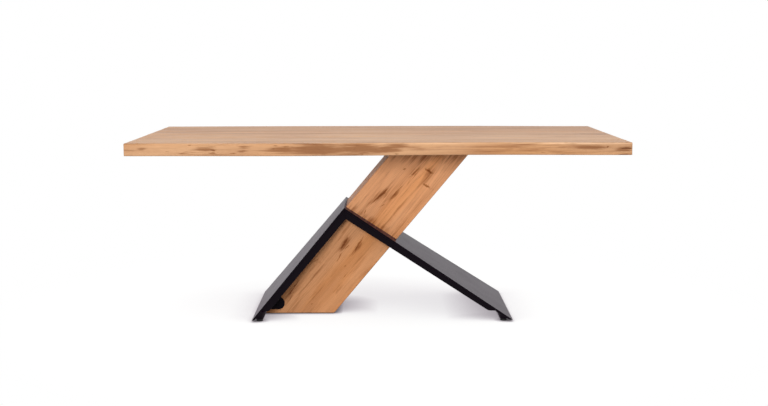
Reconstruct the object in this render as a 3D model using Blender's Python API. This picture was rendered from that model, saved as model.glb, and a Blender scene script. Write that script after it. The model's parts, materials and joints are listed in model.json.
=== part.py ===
"""Dining table: a natural-edge plank top on a leaning timber leg that a steel inverted V straddles.

Metres, +Z up. +X runs along the top, -Y is the front, and the origin lies on the floor under the
middle of the top.
"""

import math

import bmesh
import bpy
from mathutils import Vector

# Clearances
GAP = 0.0003
THREAD_CLEARANCE = 0.0003
BOLT_CLEARANCE = 0.0004

# Top
TOP_LENGTH = 2.000
TOP_DEPTH = 1.030
TOP_THICKNESS = 0.050
TABLE_HEIGHT = 0.770
BOARD_COUNT = 7
TOP_ARRIS = 0.005

# Natural edges: how far the wavy edge falls back from its widest line
FRONT_END_FALL = 0.013
FRONT_HOLLOW_FALL = 0.034
BACK_LEFT_FALL = 0.010
BACK_HOLLOW_FALL = 0.006
BACK_RIGHT_FALL = 0.042

# The same falls, each with its place as a share of the half length
FRONT_EDGE = ((-1.0, FRONT_END_FALL), (-0.38, 0.0), (0.42, FRONT_HOLLOW_FALL), (1.0, FRONT_END_FALL))
BACK_EDGE = ((-1.0, BACK_LEFT_FALL), (-0.42, 0.0), (0.30, BACK_HOLLOW_FALL), (1.0, BACK_RIGHT_FALL))
EDGE_STEPS = 8

# Loose tongues between the boards
TONGUE_THICKNESS = 0.008
TONGUE_WIDTH = 0.024
TONGUE_END_MARGIN = 0.060

# Steel stiffeners let into the underside
STIFFENER_END_MARGIN = 0.300
STIFFENER_LENGTH = 0.820
STIFFENER_WIDTH = 0.040
STIFFENER_HEIGHT = 0.014
STIFFENER_WALL = 0.003
STIFFENER_SLOTS = 7
STIFFENER_SLOT_MARGIN = 0.020
STIFFENER_SLOT_LENGTH = 0.018
STIFFENER_SLOT_WIDTH = 0.0065

# Steel legs: an inverted V whose ridge is the outer edge of both plates
RIDGE_X = -0.1451
RIDGE_Z = 0.4701
LEFT_ANGLE = 50.0
RIGHT_ANGLE = 33.1
PLATE_THICKNESS = 0.008
RIDGE_DEPTH = 0.375
TIP_DEPTH = 0.579
TIP_HEIGHT = 0.008
FLANGE_THICKNESS = 0.008
FLANGE_AT_RIDGE = 0.036
LEFT_FLANGE_AT_TIP = 0.031
RIGHT_FLANGE_AT_TIP = 0.023
FLANGE_END_HEIGHT = 0.0455
FLANGE_END_ROUND = 0.006

# Leaning timber leg: a mitred box above and below the right steel plate
LEG_WIDTH = 0.256
LEG_DEPTH = 0.252
LEG_BOARD = 0.030
LEG_ARRIS = 0.002
LEG_GLIDE_HEIGHT = 0.004
LEG_GLIDE_RADIUS = 0.014
LEG_GLIDE_MARGIN = 0.030
LEG_FLOOR_BOARD = 0.022
POST_SIDE = 0.100
POST_WALL = 0.005

# Steel ears that hold the toe of the timber leg to the left plate
EAR_RADIUS = 0.027
EAR_REACH = 0.0432
EAR_BOTTOM = 0.0208
EAR_THICKNESS = 0.006
EAR_ARC_STEPS = 12

# Plate that carries the top
MOUNT_LENGTH = 0.620
MOUNT_THICKNESS = 0.008
MOUNT_MARGIN = 0.030
MOUNT_CORNER = 0.012
BOLT_RADIUS = 0.004
BOLT_HEAD_RADIUS = 0.007
BOLT_HEAD_HEIGHT = 0.0044
BOLT_LEG_CLEARANCE = 0.012
BOLT_TONGUE_CLEARANCE = 0.003

# Levelling feet
LEFT_FOOT_INSET = 0.0315
RIGHT_FOOT_INSET = 0.037
FOOT_EDGE_INSET = 0.032
PAD_RADIUS = 0.0135
PAD_HEIGHT = 0.0095
PAD_ROUND = 0.003
PAD_NECK_RADIUS = 0.0105
STEM_RADIUS = 0.005
BOSS_NOSE_RADIUS = 0.0165
BOSS_HEAD_RADIUS = 0.0318
BOSS_HEIGHT = 0.0350
BOSS_BORE_ROOM = 0.001
ROUND_STEPS = 32
SMALL_STEPS = 16
SLOT_END_STEPS = 6
ROUND_PROFILE = 0.5

# Colours: red, green, blue, roughness, metallic
OAK = (0.56, 0.29, 0.13, 0.55, 0.0)
PLYWOOD = (0.50, 0.33, 0.18, 0.6, 0.0)
COATED_STEEL = (0.012, 0.011, 0.012, 0.45, 0.0)
ZINC = (0.55, 0.56, 0.57, 0.35, 1.0)
BLACK_PLASTIC = (0.010, 0.010, 0.010, 0.5, 0.0)
FELT = (0.09, 0.07, 0.06, 0.95, 0.0)

# Heights and places that follow from the dimensions above
LONG = 4.0
UNDERSIDE = TABLE_HEIGHT - TOP_THICKNESS
MOUNT_BOTTOM = UNDERSIDE - GAP - MOUNT_THICKNESS
LEG_TOP = MOUNT_BOTTOM - GAP
LEG_LEFT = PLATE_THICKNESS + GAP
LEG_MIDDLE = LEG_LEFT + LEG_WIDTH / 2
BOSS_BOTTOM = PAD_HEIGHT + GAP
BOLT_ROW = LEG_DEPTH / 2 + BOLT_LEG_CLEARANCE + BOLT_HEAD_RADIUS
MOUNT_DEPTH = 2 * (BOLT_ROW + MOUNT_MARGIN)
RIDGE = Vector((RIDGE_X, 0.0, RIDGE_Z))
LEAN = math.radians(LEFT_ANGLE)
ALONG_LEG = Vector((math.cos(LEAN), 0.0, math.sin(LEAN)))
ACROSS_LEG = Vector((math.sin(LEAN), 0.0, -math.cos(LEAN)))
RIGHT_SLOPE = math.radians(RIGHT_ANGLE)
RIGHT_OUT = Vector((math.sin(RIGHT_SLOPE), 0.0, math.cos(RIGHT_SLOPE)))
HALF_RIDGE_ANGLE = math.radians((180.0 - LEFT_ANGLE - RIGHT_ANGLE) / 2)


def clear_scene():
    for old in list(bpy.data.objects):
        bpy.data.objects.remove(old, do_unlink=True)


def finish(name, values):
    """A Principled material of one node, from its colour, roughness and metallic value."""
    material = bpy.data.materials.new(name)
    material.use_nodes = True
    shader = material.node_tree.nodes["Principled BSDF"]
    shader.inputs["Base Color"].default_value = (*values[:3], 1.0)
    shader.inputs["Roughness"].default_value = values[3]
    shader.inputs["Metallic"].default_value = values[4]
    return material


def add_empty(name, place, turn_y=0.0):
    empty = bpy.data.objects.new(name, None)
    bpy.context.scene.collection.objects.link(empty)
    empty.location = place
    empty.rotation_euler = (0.0, turn_y, 0.0)
    return empty


def add_object(name, bm, values, parent=None, place=(0.0, 0.0, 0.0), smooth=False):
    """Turns a bmesh into a named object with its own material."""
    bmesh.ops.recalc_face_normals(bm, faces=bm.faces)
    mesh = bpy.data.meshes.new(name)
    bm.to_mesh(mesh)
    bm.free()
    if smooth:
        mesh.shade_smooth()
        mesh.set_sharp_from_angle(angle=math.radians(35.0))
    mesh.materials.append(finish(name, values))
    piece = bpy.data.objects.new(name, mesh)
    bpy.context.scene.collection.objects.link(piece)
    piece.parent = parent
    piece.location = place
    return piece


def as_cutter(piece):
    piece.hide_render = True
    piece.display_type = "WIRE"
    return piece


def cut(piece, cutter):
    modifier = piece.modifiers.new(cutter.name, "BOOLEAN")
    modifier.operation = "DIFFERENCE"
    modifier.solver = "EXACT"
    modifier.object = cutter


def extruded(points, sweep):
    """A flat outline, extruded along a vector."""
    bm = bmesh.new()
    face = bm.faces.new([bm.verts.new(point) for point in points])
    grown = bmesh.ops.extrude_face_region(bm, geom=[face])
    moved = [part for part in grown["geom"] if isinstance(part, bmesh.types.BMVert)]
    bmesh.ops.translate(bm, verts=moved, vec=sweep)
    return bm


def block(low, high):
    """A box between two corners."""
    outline = [
        (low[0], low[1], low[2]),
        (high[0], low[1], low[2]),
        (high[0], high[1], low[2]),
        (low[0], high[1], low[2]),
    ]
    return extruded(outline, (0.0, 0.0, high[2] - low[2]))


def turned(profile, steps):
    """A profile of (radius, height) points from axis to axis, spun once round Z."""
    bm = bmesh.new()
    verts = [bm.verts.new((radius, 0.0, height)) for radius, height in profile]
    edges = [bm.edges.new(pair) for pair in zip(verts, verts[1:])]
    bmesh.ops.spin(
        bm,
        geom=verts + edges,
        axis=(0.0, 0.0, 1.0),
        cent=(0.0, 0.0, 0.0),
        angle=math.tau,
        steps=steps,
        use_merge=True,
    )
    bmesh.ops.remove_doubles(bm, verts=bm.verts, dist=0.00001)
    return bm


def saw(bm, point, outward):
    """Cuts away what lies beyond a plane, and closes the cut."""
    geometry = bm.verts[:] + bm.edges[:] + bm.faces[:]
    made = bmesh.ops.bisect_plane(
        bm, geom=geometry, plane_co=point, plane_no=outward, clear_outer=True
    )
    rim = [part for part in made["geom_cut"] if isinstance(part, bmesh.types.BMEdge)]
    bmesh.ops.edgeloop_fill(bm, edges=rim)


def soften_edges(bm, chosen, width, segments=1):
    edges = [edge for edge in bm.edges if chosen(edge)]
    bmesh.ops.bevel(
        bm, geom=edges, offset=width, segments=segments, affect="EDGES", profile=ROUND_PROFILE
    )


def edge_line(knots, side):
    """A natural edge as plan points: smooth swells between the knots, along the whole length."""
    points = []
    for (from_x, from_fall), (to_x, to_fall) in zip(knots, knots[1:]):
        for step in range(EDGE_STEPS):
            share = step / EDGE_STEPS
            swell = (1 - math.cos(math.pi * share)) / 2
            fall = from_fall + (to_fall - from_fall) * swell
            x = from_x + (to_x - from_x) * share
            points.append((x * TOP_LENGTH / 2, side * (TOP_DEPTH / 2 - fall)))
    last_x, last_fall = knots[-1]
    points.append((last_x * TOP_LENGTH / 2, side * (TOP_DEPTH / 2 - last_fall)))
    return points


def board_sides(index):
    """The low and high Y of a board's straight sides."""
    pitch = TOP_DEPTH / BOARD_COUNT
    low = -TOP_DEPTH / 2 + index * pitch
    return low + GAP / 2, low + pitch - GAP / 2


def make_top_board(index, parent):
    """One plank: straight sides, or a natural edge on the outer side of the first and the last."""
    low, high = board_sides(index)
    half = TOP_LENGTH / 2
    first, last = index == 0, index == BOARD_COUNT - 1
    near = edge_line(FRONT_EDGE, -1) if first else [(-half, low), (half, low)]
    far = edge_line(BACK_EDGE, 1) if last else [(-half, high), (half, high)]
    outline = [(x, y, 0.0) for x, y in near + far[::-1]]
    bm = extruded(outline, (0.0, 0.0, TOP_THICKNESS))

    def is_outer_arris(edge):
        ends = [vert.co for vert in edge.verts]
        level = ends[0].z == ends[1].z
        at_end = all(abs(abs(end.x) - half) < GAP for end in ends)
        on_front = first and all(end.y < high - GAP for end in ends)
        on_back = last and all(end.y > low + GAP for end in ends)
        return level and (at_end or on_front or on_back)

    soften_edges(bm, is_outer_arris, TOP_ARRIS)
    return add_object(f"top_board_{index + 1}", bm, OAK, parent)


def make_tongue(index, parent):
    """A loose tongue in the joint behind a board, and the stopped groove that it lies in."""
    joint = (board_sides(index)[1] + board_sides(index + 1)[0]) / 2
    reach = TOP_LENGTH / 2 - TONGUE_END_MARGIN
    middle = TOP_THICKNESS / 2
    groove = (reach, TONGUE_WIDTH / 2, TONGUE_THICKNESS / 2)
    tongue = [size - GAP for size in groove]
    pieces = []
    for name, half in ((f"top_tongue_{index + 1}", tongue), (f"groove_{index + 1}", groove)):
        low = (-half[0], joint - half[1], middle - half[2])
        high = (half[0], joint + half[1], middle + half[2])
        pieces.append(add_object(name, block(low, high), PLYWOOD, parent))
    return as_cutter(pieces[1])


def slot_cutter():
    """A slot with round ends along Y, which lets the boards swell and shrink under their screws."""
    radius = STIFFENER_SLOT_WIDTH / 2
    straight = STIFFENER_SLOT_LENGTH / 2 - radius
    outline = []
    for end in (1, -1):
        for step in range(SLOT_END_STEPS + 1):
            turn = math.pi * step / SLOT_END_STEPS
            x, y = end * radius * math.cos(turn), end * (straight + radius * math.sin(turn))
            outline.append((x, y, -STIFFENER_WALL))
    return extruded(outline, (0.0, 0.0, 3 * STIFFENER_WALL))


def make_stiffener(side, parent):
    """A steel channel across the boards, web down and flush, and its pocket in the underside."""
    name = "left" if side < 0 else "right"
    half = STIFFENER_WIDTH / 2
    wall = STIFFENER_WALL
    top = STIFFENER_HEIGHT
    outline = [(-half, 0.0), (half, 0.0), (half, top), (half - wall, top)]
    outline += [(half - wall, wall), (wall - half, wall), (wall - half, top), (-half, top)]
    place = (side * (TOP_LENGTH / 2 - STIFFENER_END_MARGIN), 0.0, 0.0)
    reach = STIFFENER_LENGTH / 2
    section = [(x, -reach, z) for x, z in outline]
    channel = extruded(section, (0.0, 2 * reach, 0.0))
    stiffener = add_object(f"stiffener_{name}", channel, COATED_STEEL, parent, place)
    span = 2 * (reach - STIFFENER_SLOT_MARGIN)
    for slot in range(STIFFENER_SLOTS):
        y = span * (slot / (STIFFENER_SLOTS - 1) - 1 / 2)
        slot_place = (place[0], y, 0.0)
        cutter = add_object(f"screw_slot_{name}_{slot + 1}", slot_cutter(), ZINC, parent, slot_place)
        cut(stiffener, as_cutter(cutter))
    low = (-half - GAP, -reach - GAP, -TOP_THICKNESS)
    high = (half + GAP, reach + GAP, top + GAP)
    return as_cutter(add_object(f"stiffener_pocket_{name}", block(low, high), OAK, parent, place))


def bolt_places():
    """Where the six bolts of the mounting plate stand: two rows beside the leg."""
    middle = leg_top_middle()
    reach = MOUNT_LENGTH / 2 - MOUNT_MARGIN
    return [(middle + step * reach, row * BOLT_ROW) for row in (-1, 1) for step in (-1, 0, 1)]


def leg_top_middle():
    """X of the leg's middle line where it meets the mounting plate."""
    start = RIDGE + ACROSS_LEG * LEG_MIDDLE
    return start.x + (LEG_TOP - start.z) / math.tan(LEAN)


def make_bolts(parent):
    """Button-head bolts up through the mounting plate into the boards, and their holes."""
    bite = TOP_THICKNESS / 2 - TONGUE_THICKNESS / 2 - BOLT_TONGUE_CLEARANCE
    seat = MOUNT_BOTTOM - GAP
    crown = [(0.0, -BOLT_HEAD_HEIGHT), (0.6 * BOLT_HEAD_RADIUS, -BOLT_HEAD_HEIGHT)]
    rim = [(BOLT_HEAD_RADIUS, -0.3 * BOLT_HEAD_HEIGHT), (BOLT_HEAD_RADIUS, 0.0)]
    length = UNDERSIDE + bite - seat
    profile = crown + rim + [(BOLT_RADIUS, 0.0), (BOLT_RADIUS, length), (0.0, length)]
    holes = []
    for index, (x, y) in enumerate(bolt_places()):
        bolt = turned(profile, SMALL_STEPS)
        add_object(f"top_bolt_{index + 1}", bolt, ZINC, parent, (x, y, seat), smooth=True)
        bm = bmesh.new()
        radius = BOLT_RADIUS + BOLT_CLEARANCE
        depth = 2 * (length + GAP)
        bmesh.ops.create_cone(
            bm, cap_ends=True, segments=SMALL_STEPS, radius1=radius, radius2=radius, depth=depth
        )
        holes.append(as_cutter(add_object(f"bolt_hole_{index + 1}", bm, ZINC, parent, (x, y, seat))))
    return holes


def make_mount_plate(holes, parent):
    """The steel plate between the leg and the top."""
    middle = leg_top_middle()
    low = (middle - MOUNT_LENGTH / 2, -MOUNT_DEPTH / 2, MOUNT_BOTTOM)
    high = (middle + MOUNT_LENGTH / 2, MOUNT_DEPTH / 2, MOUNT_BOTTOM + MOUNT_THICKNESS)
    bm = block(low, high)

    def is_upright(edge):
        return abs(edge.verts[0].co.z - edge.verts[1].co.z) > GAP

    soften_edges(bm, is_upright, MOUNT_CORNER, segments=4)
    plate = add_object("mounting_plate", bm, COATED_STEEL, parent)
    for hole in holes:
        cut(plate, hole)


def make_top():
    top = add_empty("top", (0.0, 0.0, UNDERSIDE))
    base = add_empty("mounting", (0.0, 0.0, 0.0))
    boards = [make_top_board(index, top) for index in range(BOARD_COUNT)]
    for index in range(BOARD_COUNT - 1):
        groove = make_tongue(index, top)
        cut(boards[index], groove)
        cut(boards[index + 1], groove)
    holes = make_bolts(base)
    make_mount_plate(holes, base)
    for index, board in enumerate(boards):
        low, high = board_sides(index)
        for hole, (_, y) in zip(holes, bolt_places()):
            reach = BOLT_RADIUS + BOLT_CLEARANCE
            if y + reach > low and y - reach < high:
                cut(board, hole)
    for side in (-1, 1):
        pocket = make_stiffener(side, top)
        for index, board in enumerate(boards):
            low, high = board_sides(index)
            if low < STIFFENER_LENGTH / 2 and high > -STIFFENER_LENGTH / 2:
                cut(board, pocket)


class SteelLeg:
    """One side of the V, in its own frame: s runs down the leg from the ridge, h goes inwards."""

    def __init__(self, name, side, angle, flange_at_tip, foot_inset):
        self.name = name
        self.side = side
        self.slope = math.radians(angle)
        self.flange_at_tip = flange_at_tip
        self.foot_inset = foot_inset
        self.tip = self.reach(0.0, TIP_HEIGHT)
        turn = math.pi / 2 + self.slope if side > 0 else 1.5 * math.pi - self.slope
        self.frame = add_empty(f"{name}_leg", RIDGE, turn)

    def reach(self, depth, height):
        """How far down the leg a line at this depth comes to a height over the floor."""
        fall = RIDGE_Z - height - depth * math.cos(self.slope)
        return fall / math.sin(self.slope)

    def mitre(self, depth):
        """Where the joint plane under the ridge crosses this depth."""
        return depth / math.tan(HALF_RIDGE_ANGLE) + GAP / 2

    def half_depth(self, s):
        spread = (TIP_DEPTH - RIDGE_DEPTH) / 2
        return RIDGE_DEPTH / 2 + spread * s / self.tip

    def place(self, s, h, y):
        return (self.side * h, y, s)

    def inward(self):
        return Vector((-self.side * math.sin(self.slope), 0.0, -math.cos(self.slope)))

    def solid(self, outline, near, far):
        """An outline of (s, h) points, spread in Y between two lines that follow the taper."""
        bm = bmesh.new()
        verts = [bm.verts.new(self.place(s, h, near(s))) for s, h in outline]
        face = bm.faces.new(verts)
        grown = bmesh.ops.extrude_face_region(bm, geom=[face])
        for part in grown["geom"]:
            if isinstance(part, bmesh.types.BMVert):
                part.co.y = far(part.co.z)
        return bm

    def make_plate(self):
        low = PLATE_THICKNESS
        outline = [(self.mitre(0.0), 0.0), (self.mitre(low), low)]
        outline += [(self.reach(low, TIP_HEIGHT), low), (self.tip, 0.0)]
        bm = self.solid(outline, lambda s: -self.half_depth(s), self.half_depth)
        add_object(f"{self.name}_plate", bm, COATED_STEEL, self.frame)

    def make_flange(self, side):
        """A tapered flange under the plate's edge, mitred at the ridge and cut level over the foot."""
        name = f"{self.name}_flange_{'front' if side < 0 else 'back'}"
        seat = PLATE_THICKNESS + GAP
        ridge_s = self.mitre(FLANGE_AT_RIDGE)
        slim = (self.flange_at_tip - FLANGE_AT_RIDGE) / (self.tip - ridge_s)
        fall = RIDGE_Z - FLANGE_END_HEIGHT - FLANGE_AT_RIDGE * math.cos(self.slope)
        end_s = fall + slim * ridge_s * math.cos(self.slope)
        end_s = end_s / (math.sin(self.slope) + slim * math.cos(self.slope))
        end_h = FLANGE_AT_RIDGE + slim * (end_s - ridge_s)
        outline = [(self.mitre(seat), seat), (ridge_s, FLANGE_AT_RIDGE), (end_s, end_h)]
        outline.append((self.reach(seat, FLANGE_END_HEIGHT), seat))
        bm = self.solid(
            outline,
            lambda s: side * self.half_depth(s),
            lambda s: side * (self.half_depth(s) - FLANGE_THICKNESS),
        )

        def is_end_corner(edge):
            return all(abs(vert.co.z - end_s) < GAP for vert in edge.verts)

        soften_edges(bm, is_end_corner, FLANGE_END_ROUND, segments=3)
        add_object(name, bm, COATED_STEEL, self.frame)

    def foot_axis(self):
        """X of the levelling feet."""
        return RIDGE_X + self.side * (self.tip * math.cos(self.slope) - self.foot_inset)

    def stem_room(self):
        """The highest that a stem can reach under this plate."""
        outer = self.side * (self.foot_axis() - RIDGE_X) + STEM_RADIUS + THREAD_CLEARANCE
        underside = RIDGE_Z - outer * math.tan(self.slope) - PLATE_THICKNESS / math.cos(self.slope)
        return underside - BOSS_BORE_ROOM

    def make_foot(self, side, stem_top):
        """A tapered threaded boss under the plate, with a stem and a pad that screw in and out."""
        end = "front" if side < 0 else "back"
        x = self.foot_axis()
        y = side * (TIP_DEPTH / 2 - FOOT_EDGE_INSET)
        bm = bmesh.new()
        bmesh.ops.create_cone(
            bm,
            cap_ends=True,
            segments=ROUND_STEPS,
            radius1=BOSS_NOSE_RADIUS,
            radius2=BOSS_HEAD_RADIUS,
            depth=BOSS_HEIGHT,
        )
        bmesh.ops.translate(bm, verts=bm.verts, vec=(0.0, 0.0, BOSS_HEIGHT / 2))
        seat = RIDGE + self.inward() * (PLATE_THICKNESS + GAP) - Vector((x, 0.0, BOSS_BOTTOM))
        saw(bm, seat, -self.inward())
        boss = add_object(
            f"foot_boss_{self.name}_{end}",
            bm,
            COATED_STEEL,
            place=(x, y, BOSS_BOTTOM),
            smooth=True,
        )
        cutter = bmesh.new()
        bore = STEM_RADIUS + THREAD_CLEARANCE
        depth = 2 * (stem_top + BOSS_BORE_ROOM / 2 - BOSS_BOTTOM)
        bmesh.ops.create_cone(
            cutter, cap_ends=True, segments=SMALL_STEPS, radius1=bore, radius2=bore, depth=depth
        )
        hole = add_object(f"foot_bore_{self.name}_{end}", cutter, ZINC, place=(x, y, BOSS_BOTTOM))
        cut(boss, as_cutter(hole))
        self.make_levelling_foot(f"{self.name}_{end}", (x, y, 0.0), stem_top)

    def make_levelling_foot(self, name, place, stem_top):
        axis = add_empty(f"levelling_foot_{name}", place)
        corner = []
        for step in range(4):
            turn = math.pi / 2 * step / 3
            radius = PAD_RADIUS - PAD_ROUND + PAD_ROUND * math.sin(turn)
            corner.append((radius, PAD_ROUND - PAD_ROUND * math.cos(turn)))
        pad = [(0.0, 0.0)] + corner
        pad += [(PAD_RADIUS, PAD_HEIGHT - PAD_ROUND), (PAD_NECK_RADIUS, PAD_HEIGHT), (0.0, PAD_HEIGHT)]
        add_object(f"foot_pad_{name}", turned(pad, ROUND_STEPS), BLACK_PLASTIC, axis, smooth=True)
        low = PAD_HEIGHT + GAP
        stem = [(0.0, low), (STEM_RADIUS, low), (STEM_RADIUS, stem_top), (0.0, stem_top)]
        add_object(f"foot_stem_{name}", turned(stem, SMALL_STEPS), ZINC, axis, smooth=True)

    def make(self, stem_top):
        self.make_plate()
        for side in (-1, 1):
            self.make_flange(side)
            self.make_foot(side, stem_top)


def leg_bar(section, parent_low, parent_high):
    """A bar along the leg with this section, sawn off at two planes of (point, outward normal)."""
    bm = extruded([(x, y, -LONG / 2) for x, y in section], (0.0, 0.0, LONG))
    for point, outward in (parent_low, parent_high):
        saw(bm, to_leg(point - RIDGE), to_leg(outward))
    return bm


def to_leg(vector):
    """A world direction in the leg's frame: x across, y depth, z up along the leg."""
    return Vector((vector.dot(ACROSS_LEG), vector.y, vector.dot(ALONG_LEG)))


def mitred_sections():
    """The four boards of the box, each a section with mitred sides and an eased outer arris."""
    low_x, high_x = LEG_LEFT, LEG_LEFT + LEG_WIDTH
    low_y, high_y = -LEG_DEPTH / 2, LEG_DEPTH / 2
    corners = [(low_x, low_y), (high_x, low_y), (high_x, high_y), (low_x, high_y)]
    inward = [(1, 1), (-1, 1), (-1, -1), (1, -1)]
    names = ("front", "right", "back", "left")
    sections = {}
    for index, name in enumerate(names):
        after = (index + 1) % len(names)
        ends = ((corners[index], inward[index]), (corners[after], inward[after]))
        run = (corners[after][0] - corners[index][0], corners[after][1] - corners[index][1])
        length = math.hypot(*run)
        along = (run[0] / length, run[1] / length)
        points = []
        for (corner, turn), sign in zip(ends, (1, -1)):
            shift = [sign * GAP * part for part in along]
            deep = [corner[i] + turn[i] * LEG_BOARD + shift[i] for i in (0, 1)]
            clipped = [corner[i] + turn[i] * LEG_ARRIS / 2 + shift[i] for i in (0, 1)]
            face = [corner[i] + sign * along[i] * (LEG_ARRIS + GAP) for i in (0, 1)]
            points.append([deep, clipped, face])
        sections[name] = points[0] + points[1][::-1]
    return sections


def box_section(middle, half_x, half_y):
    return [
        (middle - half_x, -half_y),
        (middle + half_x, -half_y),
        (middle + half_x, half_y),
        (middle - half_x, half_y),
    ]


def make_post(name, low, high, frame):
    """A square steel tube inside the timber box."""
    half = POST_SIDE / 2
    bore_half = half - POST_WALL
    post = add_object(name, leg_bar(box_section(LEG_MIDDLE, half, half), low, high), COATED_STEEL, frame)
    section = box_section(LEG_MIDDLE, bore_half, bore_half)
    bore = extruded([(x, y, -LONG / 2) for x, y in section], (0.0, 0.0, LONG))
    cut(post, as_cutter(add_object(f"{name}_bore", bore, COATED_STEEL, frame)))


def make_timber_leg():
    frame = add_empty("timber_leg", RIDGE, math.pi / 2 - LEAN)
    down, up = Vector((0.0, 0.0, -1.0)), Vector((0.0, 0.0, 1.0))
    on_plate = (RIDGE + RIGHT_OUT * GAP, -RIGHT_OUT)
    under_plate = (RIDGE - RIGHT_OUT * (PLATE_THICKNESS + GAP), RIGHT_OUT)
    under_mount = (Vector((0.0, 0.0, LEG_TOP)), up)
    floor_end = (Vector((0.0, 0.0, LEG_GLIDE_HEIGHT)), down)
    floor_board_top = LEG_GLIDE_HEIGHT + LEG_FLOOR_BOARD
    on_floor_board = (Vector((0.0, 0.0, floor_board_top + GAP)), down)
    for part, low, high in (("upper", on_plate, under_mount), ("lower", floor_end, under_plate)):
        for name, section in mitred_sections().items():
            add_object(f"{part}_leg_{name}", leg_bar(section, low, high), OAK, frame)
    make_post("upper_post", on_plate, under_mount, frame)
    make_post("lower_post", on_floor_board, under_plate, frame)
    half_x = LEG_WIDTH / 2 - LEG_BOARD - GAP
    half_y = LEG_DEPTH / 2 - LEG_BOARD - GAP
    section = box_section(LEG_MIDDLE, half_x, half_y)
    floor_board = leg_bar(section, floor_end, (Vector((0.0, 0.0, floor_board_top)), up))
    add_object("lower_leg_floor", floor_board, PLYWOOD, frame)
    make_leg_glides(half_x / math.sin(LEAN), half_y)


def make_leg_glides(reach_x, reach_y):
    """Felt glides under the corners of the leg's floor board."""
    start = RIDGE + ACROSS_LEG * LEG_MIDDLE
    middle = start.x - (start.z - LEG_GLIDE_HEIGHT) / math.tan(LEAN)
    height = LEG_GLIDE_HEIGHT - GAP
    profile = [(0.0, 0.0), (LEG_GLIDE_RADIUS, 0.0), (LEG_GLIDE_RADIUS, height), (0.0, height)]
    for side_y, end in ((-1, "front"), (1, "back")):
        for side_x, name in ((-1, "left"), (1, "right")):
            x = middle + side_x * (reach_x - LEG_GLIDE_MARGIN)
            y = side_y * (reach_y - LEG_GLIDE_MARGIN)
            bm = turned(profile, SMALL_STEPS)
            add_object(f"leg_glide_{name}_{end}", bm, FELT, place=(x, y, 0.0), smooth=True)


def make_ears():
    """Rounded steel ears on the front and back of the timber toe, welded to the left plate."""
    depth = PLATE_THICKNESS + EAR_REACH
    down_leg = (RIDGE_Z - EAR_BOTTOM - EAR_RADIUS - depth * math.cos(LEAN)) / math.sin(LEAN)
    middle = RIDGE - ALONG_LEG * down_leg + ACROSS_LEG * depth
    root = EAR_REACH - GAP
    outline = []
    for step in range(EAR_ARC_STEPS + 1):
        turn = -math.pi / 2 + (LEAN + math.pi / 2) * step / EAR_ARC_STEPS
        outline.append((EAR_RADIUS * math.cos(turn), EAR_RADIUS * math.sin(turn)))
    top = ALONG_LEG * EAR_RADIUS - ACROSS_LEG * root
    outline.append((top.x, top.z))
    bottom_x = -(root + EAR_RADIUS * math.cos(LEAN)) / math.sin(LEAN)
    outline.append((bottom_x, -EAR_RADIUS))
    for side, name in ((-1, "front"), (1, "back")):
        bm = extruded([(x, 0.0, z) for x, z in outline], (0.0, side * EAR_THICKNESS, 0.0))
        place = (middle.x, side * (LEG_DEPTH / 2 + GAP), middle.z)
        add_object(f"toe_ear_{name}", bm, COATED_STEEL, place=place)


def main():
    clear_scene()
    make_top()
    make_timber_leg()
    left = SteelLeg("left", -1, LEFT_ANGLE, LEFT_FLANGE_AT_TIP, LEFT_FOOT_INSET)
    right = SteelLeg("right", 1, RIGHT_ANGLE, RIGHT_FLANGE_AT_TIP, RIGHT_FOOT_INSET)
    stem_top = min(left.stem_room(), right.stem_room())
    for leg in (left, right):
        leg.make(stem_top)
    make_ears()


main()
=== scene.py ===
# %% [markdown]
# A dining table in oak and black steel, dressed for a studio picture.
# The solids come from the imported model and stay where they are.
# This lesson adds what a solid model leaves out: softened edges, wood figure, welds, threads and screws.

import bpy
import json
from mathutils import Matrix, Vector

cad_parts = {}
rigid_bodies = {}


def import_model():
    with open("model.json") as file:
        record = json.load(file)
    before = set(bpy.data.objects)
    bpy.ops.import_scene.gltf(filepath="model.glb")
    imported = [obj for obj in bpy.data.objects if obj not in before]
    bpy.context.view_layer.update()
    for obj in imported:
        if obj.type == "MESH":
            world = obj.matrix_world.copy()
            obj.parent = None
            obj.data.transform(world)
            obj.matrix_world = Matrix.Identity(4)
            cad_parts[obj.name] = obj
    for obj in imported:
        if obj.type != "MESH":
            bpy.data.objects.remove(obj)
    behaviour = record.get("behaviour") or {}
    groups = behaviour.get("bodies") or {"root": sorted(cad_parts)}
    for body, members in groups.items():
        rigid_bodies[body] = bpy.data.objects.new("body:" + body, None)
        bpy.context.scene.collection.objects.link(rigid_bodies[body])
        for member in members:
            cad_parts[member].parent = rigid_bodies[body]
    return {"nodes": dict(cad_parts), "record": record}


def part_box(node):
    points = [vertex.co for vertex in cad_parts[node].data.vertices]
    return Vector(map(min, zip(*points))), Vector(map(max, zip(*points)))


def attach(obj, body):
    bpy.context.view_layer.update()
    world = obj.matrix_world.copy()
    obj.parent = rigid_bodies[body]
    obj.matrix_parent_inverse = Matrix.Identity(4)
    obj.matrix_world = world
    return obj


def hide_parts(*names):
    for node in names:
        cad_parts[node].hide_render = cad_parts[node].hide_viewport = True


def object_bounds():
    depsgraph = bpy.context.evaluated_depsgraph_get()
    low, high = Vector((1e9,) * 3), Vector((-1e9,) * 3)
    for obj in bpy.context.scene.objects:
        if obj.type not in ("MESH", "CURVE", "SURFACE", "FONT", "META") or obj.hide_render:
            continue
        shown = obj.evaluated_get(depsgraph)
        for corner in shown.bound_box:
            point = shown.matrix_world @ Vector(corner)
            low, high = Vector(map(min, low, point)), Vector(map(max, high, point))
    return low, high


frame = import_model()
CAD_BOX = [list(corner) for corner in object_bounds()]

import json
import math
from functools import partial

import bmesh
import bpy
from mathutils import Matrix, Vector, noise

NODES = frame["nodes"]
print("solids:", len(NODES), "box:", CAD_BOX)

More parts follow.
